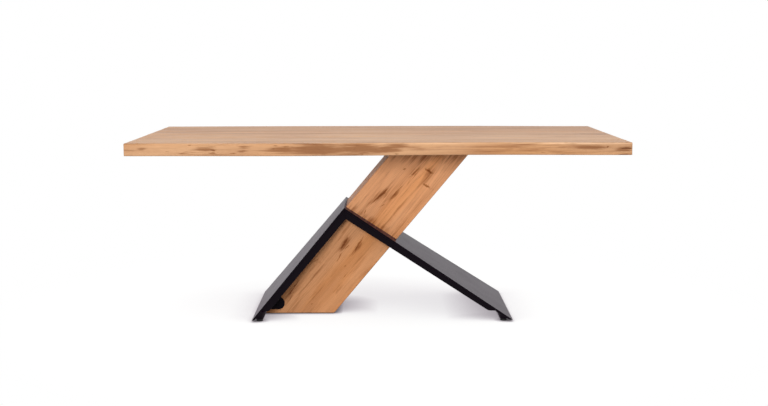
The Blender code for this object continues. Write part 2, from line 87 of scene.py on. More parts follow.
# %% [markdown]
# The camera stands five metres in front of the table at the height of a seated person's eyes.
# A long lens from far away keeps the top's ends nearly parallel, as in a catalogue picture.
# The field of view is written for a 36 mm wide sensor, so the lens length is all that sets it.

# %% Camera
CAMERA_PLACE = (-0.0059, -5.0307, 1.1389)
CAMERA_TILT = 7.6234
CAMERA_TURN = 0.3665
CAMERA_ROLL = 0.1085
CAMERA_LENS = 54.208
SENSOR_WIDTH = 36.0

bpy.ops.object.camera_add(
    location=CAMERA_PLACE,
    rotation=[math.radians(angle) for angle in (90 - CAMERA_TILT, CAMERA_ROLL, -CAMERA_TURN)],
)
camera = bpy.context.object
camera.data.sensor_width = SENSOR_WIDTH
camera.data.lens = CAMERA_LENS
bpy.context.scene.camera = camera
bpy.context.scene.view_settings.view_transform = "Standard"
print("camera lens:", round(camera.data.lens, 2), "mm")

# %% [markdown]
# Every material below is a small graph of nodes, and typing each link by hand is slow.
# These helpers add a node, feed its sockets with numbers or links, and give back what it puts out.


# %% Node helpers
def add_node(tree, kind, **settings):
    node = tree.nodes.new(kind)
    for name, value in settings.items():
        setattr(node, name, value)
    return node


def feed(socket, value):
    """Links a socket to an output, or writes a plain number or colour into it."""
    if isinstance(value, bpy.types.NodeSocket):
        socket.id_data.links.new(value, socket)
    else:
        socket.default_value = value


def fill(node, **values):
    """Feeds a node's sockets by name, with an underscore for each space, and gives back its outputs."""
    for label, value in values.items():
        feed(node.inputs[label.replace("_", " ")], value)
    return node.outputs


def join(kind, places, values, **settings):
    """Adds a node to the tree that the linked values are in, and feeds its sockets by their places."""
    tree = next(value.id_data for value in values if isinstance(value, bpy.types.NodeSocket))
    node = add_node(tree, kind, **settings)
    for place, value in zip(places, values):
        feed(node.inputs[place], value)
    return node.outputs


def reckon(operation, *values, clamp=False):
    """One sum on numbers."""
    return join("ShaderNodeMath", (0, 1, 2), values, operation=operation, use_clamp=clamp)[0]


times = partial(reckon, "MULTIPLY")
plus = partial(reckon, "ADD")
minus = partial(reckon, "SUBTRACT")
scale_and_shift = partial(reckon, "MULTIPLY_ADD")


def reckon_vector(operation, *values):
    """One sum on vectors."""
    result = join("ShaderNodeVectorMath", (0, 1), values, operation=operation)
    return result["Value" if operation == "LENGTH" else "Vector"]


def split_xyz(vector):
    return join("ShaderNodeSeparateXYZ", (0,), (vector,))


def join_xyz(tree, x, y, z):
    return fill(add_node(tree, "ShaderNodeCombineXYZ"), X=x, Y=y, Z=z)["Vector"]


def object_place(tree):
    return add_node(tree, "ShaderNodeTexCoord").outputs["Object"]


def ease(value, start, end):
    """0 at start and 1 at end, with a smooth step between them."""
    return join("ShaderNodeMapRange", (0, 1, 2), (value, start, end), interpolation_type="SMOOTHSTEP")[0]


def cloud(vector, stretch, detail=2.0, roughness=0.5, output="Fac"):
    """Soft noise from 0 to 1, with its own number of spots per metre in each direction."""
    place = reckon_vector("MULTIPLY", vector, stretch)
    node = add_node(place.id_data, "ShaderNodeTexNoise")
    return fill(node, Vector=place, Scale=1.0, Detail=detail, Roughness=roughness)[output]


def mix_colour(share, first, second, mode="MIX"):
    values = (share, first, second)
    return join("ShaderNodeMix", (0, 6, 7), values, data_type="RGBA", blend_type=mode)[2]


def mix_number(share, first, second):
    return join("ShaderNodeMix", (0, 2, 3), (share, first, second), data_type="FLOAT")[0]


def tinted(colour, tint):
    return mix_colour(1.0, colour, tint, "MULTIPLY")


def start_group(name, inputs, outputs):
    """A shader node group with named sockets: gives the tree, what it is given and what it puts out."""
    group = bpy.data.node_groups.new(name, "ShaderNodeTree")
    for in_out, sockets in (("INPUT", inputs), ("OUTPUT", outputs)):
        for label, kind in sockets.items():
            group.interface.new_socket(label, in_out=in_out, socket_type="NodeSocket" + kind)
    given = add_node(group, "NodeGroupInput").outputs
    result = add_node(group, "NodeGroupOutput").inputs
    return group, given, result


def use_group(tree, group, **values):
    """Places a group in a tree. Its outputs come back by name."""
    return fill(add_node(tree, "ShaderNodeGroup", node_tree=group), **values)


def start_material(name):
    """A new material: gives the material, its tree and its Principled shader."""
    material = bpy.data.materials.new(name)
    material.use_nodes = True
    tree = material.node_tree
    return material, tree, tree.nodes["Principled BSDF"]


def give_bump(shader, height, distance, strength):
    bump = add_node(shader.id_data, "ShaderNodeBump")
    normal = fill(bump, Strength=strength, Distance=distance, Height=height)["Normal"]
    fill(shader, Normal=normal)


print("node helpers ready")

# %% [markdown]
# The studio is a wide white floor in a white surround, with one large soft lamp in front.
# The lamp isn't mirrored in the table, because it would glare on the top when seen from behind.
# Where the camera or a reflection looks, the surround is full white, so that the picture has a clean ground.
# As a light it is bright near the horizon and dim overhead: that lights the upright faces more than the top.
# The floor turns to pure white away from the table, for the same reason.
# Near the table it mixes lit paint with a glow, and what stands close by blocks the glow in three shadows.
# One is wide and pale, one is short and dark beside the legs, and one is the thin line under the feet.
# Each is written as its reach in metres, its depth from 0 to 1, and the side that it looks to.
# They are faintly violet, as shadows are under cool studio lamps.

# %% Studio
HORIZON_LIGHT = 0.88
ZENITH_LIGHT = 0.77
HORIZON_BAND = (0.12, 0.60)
FLOOR_WHITE = 0.40
FLOOR_LIFT = 1.70
PAINT_SHARE = 0.10
WIDE_SHADOW = (0.62, 0.36, (0.36, -0.90, 0.24))
CLOSE_SHADOW = (0.15, 0.94, (-0.10, -0.87, 0.48))
CONTACT_SHADOW = (0.03, 0.95, (0.0, 0.0, 1.0))
SHADOW_SAMPLES = 12
SHADOW_REACH = (0.75, 1.70)
FLOOR_SIZE = 60.0
WHITE = (1.0, 1.0, 1.0, 1.0)
SHADOW_TINT = (1.0, 0.87, 1.0, 1.0)


def seen_directly(tree):
    """1 for camera, mirror and glass rays, and 0 for the rays that carry light."""
    path = add_node(tree, "ShaderNodeLightPath").outputs
    seen = plus(path["Is Camera Ray"], path["Is Glossy Ray"])
    return reckon("ADD", seen, path["Is Transmission Ray"], clamp=True)


world = bpy.context.scene.world or bpy.data.worlds.new("studio")
bpy.context.scene.world = world
world.use_nodes = True
sky = world.node_tree
look = split_xyz(add_node(sky, "ShaderNodeTexCoord").outputs["Generated"])
light = mix_number(ease(look["Z"], *HORIZON_BAND), HORIZON_LIGHT, ZENITH_LIGHT)
fill(sky.nodes["Background"], Color=WHITE, Strength=mix_number(seen_directly(sky), light, 1.0))

floor_paint, tree, shader = start_material("floor_paint")
seen = seen_directly(tree)
matt = fill(add_node(tree, "ShaderNodeBsdfDiffuse"), Color=mix_number(seen, FLOOR_WHITE, FLOOR_LIFT))
far = ease(reckon_vector("LENGTH", object_place(tree)), *SHADOW_REACH)
open_air = 1.0
for reach, depth, side in (WIDE_SHADOW, CLOSE_SHADOW, CONTACT_SHADOW):
    shelter = add_node(tree, "ShaderNodeAmbientOcclusion", samples=SHADOW_SAMPLES)
    air = fill(shelter, Distance=reach, Normal=join_xyz(tree, *side))["AO"]
    open_air = times(open_air, scale_and_shift(air, depth, 1.0 - depth))
brightness = mix_number(far, open_air, 1.0)
glow_tint = mix_colour(brightness, SHADOW_TINT, WHITE)
glow = fill(add_node(tree, "ShaderNodeEmission"), Color=glow_tint, Strength=brightness)
glow_share = times(seen, mix_number(far, 1.0 - PAINT_SHARE, 1.0))
blend = join("ShaderNodeMixShader", (0, 1, 2), (glow_share, matt[0], glow[0]))
fill(tree.nodes["Material Output"], Surface=blend[0])
tree.nodes.remove(shader)

bpy.ops.mesh.primitive_plane_add(size=FLOOR_SIZE, location=(0, 0, 0))
floor = bpy.context.object
floor.name = "studio_floor"
floor.data.materials.append(floor_paint)

LAMP_PLACE = Vector((-0.6, -4.6, 1.5))
LAMP_AIM = Vector((0.1, 0.0, 0.4))
LAMP_SIZE = 1.1
LAMP_POWER = 102.0

bpy.ops.object.light_add(type="AREA", location=LAMP_PLACE)
lamp = bpy.context.object
lamp.data.shape = "SQUARE"
lamp.data.size = LAMP_SIZE
lamp.data.energy = LAMP_POWER
lamp.visible_glossy = False
lamp.rotation_euler = (LAMP_AIM - LAMP_PLACE).to_track_quat("-Z", "Y").to_euler()
print("studio ready, lamp:", LAMP_POWER, "W")

# %% [markdown]
# Oak shows growth rings as long arches, with fine pores along the grain and now and then a knot.
# A wave pattern would repeat, so the rings are worked out as they grow: by their distance from the pith.
# The pith lies outside each board and sways along it: that draws arches on the face and arcs on the ends.
# Each board carries its own grain directions and number as attributes, so one material serves them all.

# %% Oak figure
RING_WIDTH = 0.0042
PITH_DEPTH = (0.05, 0.09)
PITH_SIDE = 0.10
BOARD_STEP = (3.71, 1.93, 2.57)
PITH_SWAY = 0.11
PITH_RISE = 0.085
KNOT_CELLS = (1.9, 4.6, 0.0)
KNOT_WOBBLE = 0.12
KNOT_PUSH = 0.022
RING_RIPPLE = 0.0032
YEAR_RATE = 0.21
PORE_RANGE = (0.56, 0.68)
TONE_RANGE = (0.44, 1.14)
PORE_SHARE = 0.32
KNOT_SHARE = 0.9
SPLIT_SHARE = 0.6
OAK_ROUGHNESS = 0.40
CRACK_TINT = (0.58, 0.46, 0.34, 1.0)
KNOT_BROWN = (0.16, 0.062, 0.024, 1.0)
GOLDEN_TINT = (1.05, 0.96, 0.80, 1.0)


def build_oak_figure():
    tree, given, result = start_group(
        "oak_figure",
        {
            "Grain": "Vector",
            "Board": "Float",
            "Early wood": "Color",
            "Late wood": "Color",
            "Knot share": "Float",
        },
        {"Color": "Color", "Roughness": "Float", "Height": "Float"},
    )
    grain = given["Grain"]
    offset = reckon_vector("MULTIPLY", given["Board"], BOARD_STEP)
    place = reckon_vector("ADD", grain, offset)
    axes = split_xyz(grain)

    chance = add_node(tree, "ShaderNodeTexWhiteNoise", noise_dimensions="1D")
    luck = split_xyz(fill(chance, W=given["Board"])["Color"])

    # A knot pushes the rings aside, and only a few cells of the pattern hold one.
    wobble = times(cloud(place, (9.0, 30.0, 30.0)), KNOT_WOBBLE)
    cells = reckon_vector("ADD", reckon_vector("MULTIPLY", place, KNOT_CELLS), wobble)
    spots = add_node(tree, "ShaderNodeTexVoronoi", voronoi_dimensions="2D")
    spots = fill(spots, Vector=cells, Scale=1.0, Randomness=0.9)
    lot = split_xyz(spots["Color"])
    is_knot = reckon("LESS_THAN", lot["X"], given["Knot share"])
    away = spots["Distance"]
    bulge = times(ease(away, 0.42, 0.03), is_knot)
    heart = times(ease(away, 0.075, 0.035), is_knot)

    sway = scale_and_shift(cloud(place, (0.55, 1.3, 1.3)), PITH_SWAY, -PITH_SWAY / 2)
    rise = times(cloud(place, (0.75, 1.1, 1.1)), PITH_RISE)
    side = plus(axes["Y"], scale_and_shift(luck["X"], PITH_SIDE, -PITH_SIDE / 2))
    depth = plus(axes["Z"], scale_and_shift(luck["Y"], PITH_DEPTH[1], PITH_DEPTH[0]))
    from_pith = join_xyz(tree, 0.0, plus(side, sway), plus(depth, rise))
    radius = plus(reckon_vector("LENGTH", from_pith), times(bulge, KNOT_PUSH))
    radius = plus(radius, times(cloud(place, (7.0, 60.0, 60.0), 3.0), RING_RIPPLE))

    rings = reckon("DIVIDE", radius, RING_WIDTH)
    phase = reckon("FRACT", rings)
    pores_zone = times(ease(phase, 0.0, 0.12), ease(phase, 0.55, 0.12))
    year = add_node(tree, "ShaderNodeTexWhiteNoise", noise_dimensions="1D")
    year = fill(year, W=reckon("FLOOR", rings))["Value"]
    years = add_node(tree, "ShaderNodeTexNoise", noise_dimensions="1D")
    decade = scale_and_shift(rings, YEAR_RATE, given["Board"])
    years = fill(years, W=decade, Scale=1.0, Detail=2.0)["Fac"]

    fibre = cloud(place, (6.0, 260.0, 260.0), 3.0, 0.6)
    streak = cloud(place, (1.4, 26.0, 26.0), 3.0, 0.5)
    drift = cloud(place, (1.6, 8.0, 8.0), 3.0)
    warmth = cloud(place, (1.1, 11.0, 11.0), 2.0)
    pores = ease(cloud(place, (38.0, 1300.0, 1300.0), 1.0), *PORE_RANGE)
    pores = times(pores, scale_and_shift(pores_zone, 0.8, 0.2))

    # Light wood adds to the tone, and pores and knots take from it.
    tone = 0.0
    for part, weight in (
        (years, 0.24),
        (year, 0.05),
        (fibre, 0.12),
        (streak, 0.28),
        (drift, 0.80),
        (luck["Z"], 0.22),
        (pores_zone, -0.11),
        (bulge, -0.30),
    ):
        tone = plus(tone, times(part, weight))
    tone = ease(tone, *TONE_RANGE)

    # A split is a thin line where a slow cloud crosses its middle, and only some places have one.
    split = reckon("ABSOLUTE", minus(cloud(place, (2.4, 30.0, 30.0)), 0.5))
    where = ease(cloud(place, (1.4, 7.0, 7.0), 1.0), 0.60, 0.68)
    split = times(ease(split, 0.012, 0.003), where)

    wood = mix_colour(tone, given["Late wood"], given["Early wood"])
    wood = mix_colour(ease(warmth, 0.42, 0.68), wood, tinted(wood, GOLDEN_TINT))
    wood = mix_colour(times(pores, PORE_SHARE), wood, KNOT_BROWN)
    wood = mix_colour(times(heart, KNOT_SHARE), wood, KNOT_BROWN)
    wood = mix_colour(times(split, SPLIT_SHARE), wood, tinted(wood, CRACK_TINT))
    feed(result["Color"], wood)

    height = times(fibre, 0.35)
    for part, weight in ((pores, 0.8), (split, 1.0), (heart, 0.4)):
        height = minus(height, times(part, weight))
    feed(result["Height"], height)
    rough = scale_and_shift(pores, 0.2, OAK_ROUGHNESS)
    feed(result["Roughness"], plus(rough, times(streak, 0.12)))
    return tree


OAK_FIGURE = build_oak_figure()
print("oak figure:", len(OAK_FIGURE.nodes), "nodes")

# %% [markdown]
# The mill leaves darker places in this oak: patches of heartwood, and cracks filled with dark resin.
# Two patches on the leg are painted shade: one just under the top, and one along the joint with the steel
# plate.
# Where they lie is part of how this table looks, so each one is an ellipsoid with a ragged rim.
# The same small group, placed once for each mark, says how much of it a point gets.


# %% Marks in the wood
def build_wood_mark():
    tree, given, result = start_group(
        "wood_mark",
        {"Vector": "Vector", "Place": "Vector", "Reach": "Vector", "Lean": "Float", "Core": "Float"},
        {"Mask": "Float"},
    )
    away = reckon_vector("SUBTRACT", given["Vector"], given["Place"])
    turned = add_node(tree, "ShaderNodeVectorRotate", rotation_type="Y_AXIS")
    turned = fill(turned, Vector=away, Angle=given["Lean"])["Vector"]
    scaled = reckon_vector("DIVIDE", turned, given["Reach"])
    feed(result["Mask"], ease(reckon_vector("LENGTH", scaled), 1.0, given["Core"]))
    return tree


WOOD_MARK = build_wood_mark()
print("wood mark:", len(WOOD_MARK.nodes), "nodes")

# %% [markdown]
# The top and the leg are the same oak, but the top's colours differ a little from the leg's.
# So each gets its own material: the shared figure, its own two wood colours, and its own marks.
# The leg has a lit and a shaded copy: its upper part is painted paler than its lower part, as painted light
# and shade.
# A painted highlight lies along the right-hand part of the top's front arris, on the rounding that turns up
# to the light.
# On the top's front edge a mark is written as x, z, half its length, half its height and its strength.
# On the leg it is written as its place along and across the leg, half length, half width, lean and strength.

# %% Oak materials
LEG_LEAN = math.radians(50.0)
RIDGE_X, RIDGE_Z = -0.1451, 0.4701
EDGE_FACE_Y = -0.505
LEG_FACE_Y = -0.126
MARK_DEPTH = 0.05
STREAK_GAIN = 1.9
HEARTWOOD_AND_SHADE_LIFT = 0.85
HEARTWOOD_AND_SHADE_RANGE = (0.48, 1.12)
HEARTWOOD_AND_SHADE_DRIFT = (0.06, 0.0, 0.022)
CRACK_LIFT = 1.10
CRACK_RANGE = (0.70, 1.05)
CRACK_DRIFT = (0.016, 0.0, 0.011)
OAK_RELIEF = (0.0005, 0.6)
ARRIS_HIGHLIGHT_CORE = 0.3
ARRIS_HIGHLIGHT_LOOK = (0.95, 0.6)
HEARTWOOD_AND_SHADE_TINT = (0.52, 0.41, 0.32, 1.0)
ARRIS_HIGHLIGHT_TINT = (1.40, 1.62, 1.88, 1.0)
EARLY_AND_LATE = {
    "oak_top": ((0.73, 0.432, 0.237, 1.0), (0.448, 0.2155, 0.101, 1.0)),
    # Lit and shaded copies of the leg's oak: the upper part is painted paler than the lower.
    "oak_leg_upper_lit": ((0.93, 0.472, 0.236, 1.0), (0.585, 0.264, 0.122, 1.0)),
    "oak_leg_lower_shaded": ((0.72, 0.348, 0.164, 1.0), (0.448, 0.194, 0.083, 1.0)),
}
TOP_HEARTWOOD = [
    (-0.927, 0.751, 0.03, 0.012, 0.55),
    (-0.72, 0.7322, 0.18, 0.004, 0.6),
    (-0.682, 0.749, 0.07, 0.016, 0.6),
    (-0.526, 0.7559, 0.045, 0.012, 0.6),
    (-0.529, 0.7379, 0.042, 0.009, 0.6),
    (-0.38, 0.747, 0.12, 0.024, 0.75),
    (-0.25, 0.751, 0.18, 0.034, 1.0),
    (-0.06, 0.752, 0.19, 0.036, 1.0),
    (0.045, 0.75, 0.11, 0.03, 0.85),
    (-0.17, 0.747, 0.37, 0.04, 0.6),
    (0.15, 0.747, 0.1, 0.022, 0.4),
    (0.38, 0.749, 0.13, 0.02, 0.55),
    (0.49, 0.7455, 0.11, 0.023, 0.7),
    (0.64, 0.748, 0.48, 0.038, 0.5),
    (0.83, 0.7495, 0.12, 0.017, 0.75),
    (0.967, 0.746, 0.06, 0.018, 1.0),
    (0.967, 0.724, 0.05, 0.007, 0.9),
]
TOP_CRACKS = [
    (-0.828, 0.7396, 0.014, 0.0016, 0.7),
    (-0.739, 0.7616, 0.013, 0.003, 0.8),
    (-0.648, 0.743, 0.018, 0.0042, 0.8),
    (-0.652, 0.732, 0.026, 0.0026, 0.85),
    (-0.572, 0.7317, 0.026, 0.0024, 0.75),
    (-0.401, 0.761, 0.015, 0.0044, 1.0),
    (-0.354, 0.7577, 0.042, 0.0022, 0.9),
    (-0.415, 0.7486, 0.018, 0.0036, 0.6),
    (-0.082, 0.7595, 0.014, 0.0022, 0.7),
    (-0.218, 0.725, 0.022, 0.0026, 0.6),
    (-0.069, 0.7255, 0.018, 0.0024, 0.75),
    (0.073, 0.727, 0.016, 0.003, 0.8),
    (0.65, 0.7312, 0.015, 0.0028, 0.75),
    (0.727, 0.7235, 0.018, 0.0026, 0.8),
    (0.901, 0.7535, 0.009, 0.0036, 0.85),
    (0.976, 0.7465, 0.032, 0.006, 0.75),
]
# Painted highlight along the top's front arris.
ARRIS_PAINTED_HIGHLIGHT = [
    (0.24, 0.7675, 0.46, 0.0075, 0.65),
    (0.76, 0.7675, 0.44, 0.0078, 1.0),
]
LEG_HEARTWOOD_AND_SHADE = [
    # Painted shade along the joint where the leg meets the steel plate.
    (0.022, 0.128, 0.19, 0.032, -33, 0.4),
    # Painted shade on the leg just under the top.
    (0.381, 0.128, 0.25, 0.042, 0, 0.45),
    (0.128, 0.089, 0.09, 0.018, 41, 0.6),
    (0.17, 0.135, 0.06, 0.012, 40, 0.45),
    (0.309, 0.14, 0.04, 0.013, 50, 0.7),
    # A broad darker zone high on the upper leg.
    (0.32, 0.198, 0.085, 0.048, 50, 0.38),
    (0.346, 0.182, 0.04, 0.016, -31, 0.6),
    (0.292, 0.215, 0.036, 0.014, -29, 0.55),
    (-0.13, 0.108, 0.062, 0.026, 60, 0.7),
    (-0.1, 0.158, 0.06, 0.016, 57, 0.6),
    (-0.43, 0.068, 0.115, 0.018, 58, 0.55),
    (-0.301, 0.211, 0.045, 0.016, 56, 0.45),
]
LEG_CRACKS = [
    (0.128, 0.088, 0.078, 0.0062, 42, 0.95),
    (0.037, 0.084, 0.024, 0.003, 61, 0.75),
    (0.29, 0.136, 0.046, 0.0026, 45, 0.55),
    (0.19, 0.133, 0.072, 0.0034, 48, 0.75),
    (0.106, 0.123, 0.034, 0.003, 34, 0.6),
    (0.287, 0.096, 0.013, 0.0044, 23, 0.65),
    (0.346, 0.18, 0.03, 0.0078, -32, 1.0),
    (0.291, 0.213, 0.027, 0.007, -32, 1.0),
    (-0.122, 0.103, 0.054, 0.0062, 60, 0.9),
    (-0.13, 0.121, 0.024, 0.0036, 45, 0.75),
    (-0.188, 0.125, 0.042, 0.0038, 57, 0.75),
    (-0.198, 0.17, 0.013, 0.003, 52, 0.6),
    (-0.088, 0.153, 0.062, 0.0046, 60, 0.85),
    (-0.416, 0.06, 0.074, 0.0036, 58, 0.7),
    (-0.453, 0.077, 0.06, 0.003, 67, 0.55),
    (-0.24, 0.196, 0.036, 0.0032, 53, 0.55),
    (-0.301, 0.211, 0.026, 0.0036, 56, 0.45),
    (-0.421, 0.165, 0.007, 0.003, 25, 0.6),
]


def on_leg(along, across):
    """A place on the leaning leg: metres up along it, and across it from the ridge line."""
    cosine, sine = math.cos(LEG_LEAN), math.sin(LEG_LEAN)
    x = RIDGE_X + cosine * along + sine * across
    return (x, LEG_FACE_Y, RIDGE_Z + sine * along - cosine * across)


def edge_marks(rows):
    return [
        ((x, EDGE_FACE_Y, z), (reach, MARK_DEPTH, half), 0.0, share) for x, z, reach, half, share in rows
    ]


def leg_marks(rows):
    return [
        (on_leg(along, across), (reach, MARK_DEPTH, half), math.radians(lean), share)
        for along, across, reach, half, lean, share in rows
    ]


def gather_marks(where, marks, core=0.0):
    """The strongest of all marks at a point."""
    most = 0.0
    for place, reach, lean, share in marks:
        mark = use_group(
            where.id_data, WOOD_MARK, Vector=where, Place=place, Reach=reach, Lean=lean, Core=core
        )
        most = reckon("MAXIMUM", most, times(mark["Mask"], share))
    return most


def stray(where, grain, stretch, drift):
    """The same place, moved a little by noise, so that what is drawn there gets a ragged rim."""
    swing = reckon_vector("SUBTRACT", cloud(grain, stretch, 3.0, output="Color"), (0.5, 0.5, 0.5))
    return reckon_vector("ADD", where, reckon_vector("MULTIPLY", swing, drift))


def make_oak(name, knot_share, heartwood_and_shade, cracks, streaks, specular, painted_highlight=()):
    """Streaky noise decides where the wood is dark, and near a mark the noise is raised until it shows."""
    material, tree, shader = start_material(name)
    grain = add_node(tree, "ShaderNodeAttribute", attribute_name="grain").outputs["Vector"]
    board = add_node(tree, "ShaderNodeAttribute", attribute_name="board").outputs["Fac"]
    early, late = EARLY_AND_LATE[name]
    figure = use_group(
        tree, OAK_FIGURE, Grain=grain, Board=board, Early_wood=early, Late_wood=late, Knot_share=knot_share
    )
    where = object_place(tree)
    broad = stray(where, grain, (12, 60, 60), HEARTWOOD_AND_SHADE_DRIFT)
    fine = stray(where, grain, (45, 170, 170), CRACK_DRIFT)
    raised = times(gather_marks(broad, heartwood_and_shade), HEARTWOOD_AND_SHADE_LIFT)
    thready = cloud(grain, streaks, 5.0, 0.6)
    thready = scale_and_shift(thready, STREAK_GAIN, 0.5 - STREAK_GAIN / 2)
    patch = ease(plus(thready, raised), *HEARTWOOD_AND_SHADE_RANGE)
    raised = times(gather_marks(fine, cracks), CRACK_LIFT)
    ragged = cloud(grain, (28, 260, 260), 3.0)
    crack = ease(plus(ragged, raised), *CRACK_RANGE)
    wood = figure["Color"]
    wood = mix_colour(patch, wood, tinted(wood, HEARTWOOD_AND_SHADE_TINT))
    wood = mix_colour(crack, wood, tinted(wood, CRACK_TINT))
    # Painted highlight on the arris rounding, only where it faces upwards.
    if painted_highlight:
        look = split_xyz(add_node(tree, "ShaderNodeNewGeometry").outputs["Normal"])
        highlight = times(gather_marks(where, painted_highlight, ARRIS_HIGHLIGHT_CORE), ease(look["Z"], *ARRIS_HIGHLIGHT_LOOK))
        wood = mix_colour(highlight, wood, tinted(wood, ARRIS_HIGHLIGHT_TINT))
    fill(shader, Base_Color=wood, Roughness=figure["Roughness"], Specular_IOR_Level=specular)
    give_bump(shader, minus(figure["Height"], crack), *OAK_RELIEF)
    return material


OAK_TOP = make_oak(
    "oak_top",
    knot_share=0.14,
    heartwood_and_shade=edge_marks(TOP_HEARTWOOD),
    cracks=edge_marks(TOP_CRACKS),
    streaks=(3, 95, 95),
    specular=0.28,
    painted_highlight=edge_marks(ARRIS_PAINTED_HIGHLIGHT),
)
UPPER_OAK, LOWER_OAK = (
    make_oak(
        name,
        knot_share=0.06,
        heartwood_and_shade=leg_marks([row for row in LEG_HEARTWOOD_AND_SHADE if row[0] * side > 0]),
        cracks=leg_marks([row for row in LEG_CRACKS if row[0] * side > 0]),
        streaks=(5, 60, 60),
        specular=0.12,
    )
    for name, side in (("oak_leg_upper_lit", 1), ("oak_leg_lower_shaded", -1))
)
print("oak materials:", OAK_TOP.name, UPPER_OAK.name, LOWER_OAK.name)

# %% [markdown]
# The steel is powder coated: black, satin, with a fine orange peel that the oven leaves.
# Looked at along the plate it mirrors the white room, and looked at squarely it is almost black.
# That comes from the shader's own gloss. The nodes only add the peel and a faint change of sheen.
# A faint violet sheen is a painted reflection: it stands for a violet cast in the room's light, and only
# shows along the plate.
# Each plain finish is written as its darkest and palest colour, its least and most roughness,
# the size and depth of its tooth, and its gloss.


# %% Steel, plastic and felt materials
def build_fine_tooth():
    tree, given, result = start_group(
        "fine_tooth", {"Vector": "Vector", "Size": "Float"}, {"Height": "Float", "Patch": "Float"}
    )
    density = reckon("DIVIDE", 1.0, given["Size"])
    peel = add_node(tree, "ShaderNodeTexNoise")
    feed(result["Height"], fill(peel, Vector=given["Vector"], Scale=density, Detail=2.0)["Fac"])
    feed(result["Patch"], cloud(given["Vector"], (9.0, 9.0, 9.0), 3.0, 0.6))
    return tree


FINE_TOOTH = build_fine_tooth()
TOOTH_STRENGTH = 0.5
COATINGS = {
    "coated_steel": ((0.0038, 0.0025, 0.0040), (0.0064, 0.0043, 0.0066), 0.31, 0.39, 0.0009, 0.00008, 0.085),
    "zinc_steel": ((0.52, 0.52, 0.50), (0.66, 0.66, 0.64), 0.28, 0.44, 0.0006, 0.00004, 0.5),
    "black_plastic": ((0.008, 0.008, 0.008), (0.014, 0.014, 0.014), 0.45, 0.60, 0.0005, 0.00005, 0.4),
    "felt": ((0.05, 0.042, 0.036), (0.11, 0.095, 0.08), 0.90, 1.0, 0.0004, 0.0004, 0.1),
    "plywood": ((0.52, 0.36, 0.21), (0.62, 0.45, 0.28), 0.55, 0.70, 0.0016, 0.0001, 0.4),
}
EXTRAS = {
    "coated_steel": {
        "Specular_Tint": (0.50, 0.485, 0.51, 1.0),
        # Painted violet reflection: a faint sheen tinted for the violet cast of the room's light.
        "Sheen_Weight": 0.022,
        "Sheen_Tint": (1.0, 0.0, 1.0, 1.0),
    },
    "zinc_steel": {"Metallic": 1.0},
}


def make_coated(name, low, high, rough_low, rough_high, size, depth, specular):
    """A plain finish with a fine tooth: its colour and sheen drift a little from place to place."""
    material, tree, shader = start_material(name)
    tooth = use_group(tree, FINE_TOOTH, Vector=object_place(tree), Size=size)
    colour = mix_colour(tooth["Patch"], (*low, 1.0), (*high, 1.0))
    rough = scale_and_shift(tooth["Patch"], rough_high - rough_low, rough_low)
    fill(shader, Base_Color=colour, Roughness=rough, Specular_IOR_Level=specular, **EXTRAS.get(name, {}))
    give_bump(shader, tooth["Height"], depth, TOOTH_STRENGTH)
    return material


FINISHES = {slot: make_coated(slot, *row) for slot, row in COATINGS.items()}
FINISHES.update(oak_top=OAK_TOP, oak_leg=UPPER_OAK)
print("finishes:", ", ".join(FINISHES))

# %% [markdown]
# Modelling helpers: they put one piece into edit mode, select parts of it by place, and hand it over.
# Selecting by place is what a hand does with the mouse, and it still works when a size changes.

# %% Modelling helpers
MERGE_GAP = 1e-6
FLAT_ANGLE = math.radians(0.4)


def only(piece):
    """Makes the piece the single selected and active object."""
    bpy.ops.object.select_all(action="DESELECT")
    piece.select_set(True)
    bpy.context.view_layer.objects.active = piece


def open_edit(piece):
    """Opens the piece in edit mode, with everything selected."""
    only(piece)
    bpy.ops.object.mode_set(mode="EDIT")
    bpy.ops.mesh.select_all(action="SELECT")


def close_edit():
    bpy.ops.object.mode_set(mode="OBJECT")


def choose(piece, kind, test):
    """In edit mode, selects just the verts, edges or faces for which test is true, and counts them."""
    bpy.ops.mesh.select_mode(type={"verts": "VERT", "edges": "EDGE", "faces": "FACE"}[kind])
    bpy.ops.mesh.select_all(action="DESELECT")
    mesh = bmesh.from_edit_mesh(piece.data)
    mesh.normal_update()
    found = [part for part in getattr(mesh, kind) if test(part)]
    for part in found:
        part.select_set(True)
    bmesh.update_edit_mesh(piece.data)
    return len(found)


def middle(edge):
    return (edge.verts[0].co + edge.verts[1].co) / 2


def span(edge):
    return edge.verts[0].co - edge.verts[1].co


def face_outwards(hole_sides=0):
    """In edit mode, closes holes of up to so many sides, and turns every face outwards."""
    bpy.ops.mesh.select_all(action="SELECT")
    if hole_sides:
        bpy.ops.mesh.fill_holes(sides=hole_sides)
    bpy.ops.mesh.normals_make_consistent(inside=False)


def apply_modifier(piece, kind, **settings):
    only(piece)
    bpy.ops.object.modifier_add(type=kind)
    modifier = piece.modifiers[-1]
    for name, value in settings.items():
        setattr(modifier, name, value)
    bpy.ops.object.modifier_apply(modifier=modifier.name)


def smooth(piece, angle):
    """Smooth shading, with normals that keep large faces flat beside their rounded edges."""
    only(piece)
    bpy.ops.object.shade_smooth_by_angle(angle=math.radians(angle))
    apply_modifier(piece, "WEIGHTED_NORMAL", keep_sharp=True)


def soften(piece, width, segments, sharper_than, smooth_angle=35):
    """Rounds each edge that is sharper than an angle, and shades the piece smooth."""
    limit = math.radians(sharper_than)
    apply_modifier(piece, "BEVEL", width=width, segments=segments, limit_method="ANGLE", angle_limit=limit)
    smooth(piece, smooth_angle)


def add_box(low, high):
    bpy.ops.mesh.primitive_cube_add(size=1, location=(low + high) / 2, scale=high - low)


def cut_away(piece):
    """Takes the shape that was added last out of the piece."""
    cutter = bpy.context.object
    apply_modifier(piece, "BOOLEAN", object=cutter, operation="DIFFERENCE", solver="EXACT")
    bpy.data.objects.remove(cutter, do_unlink=True)


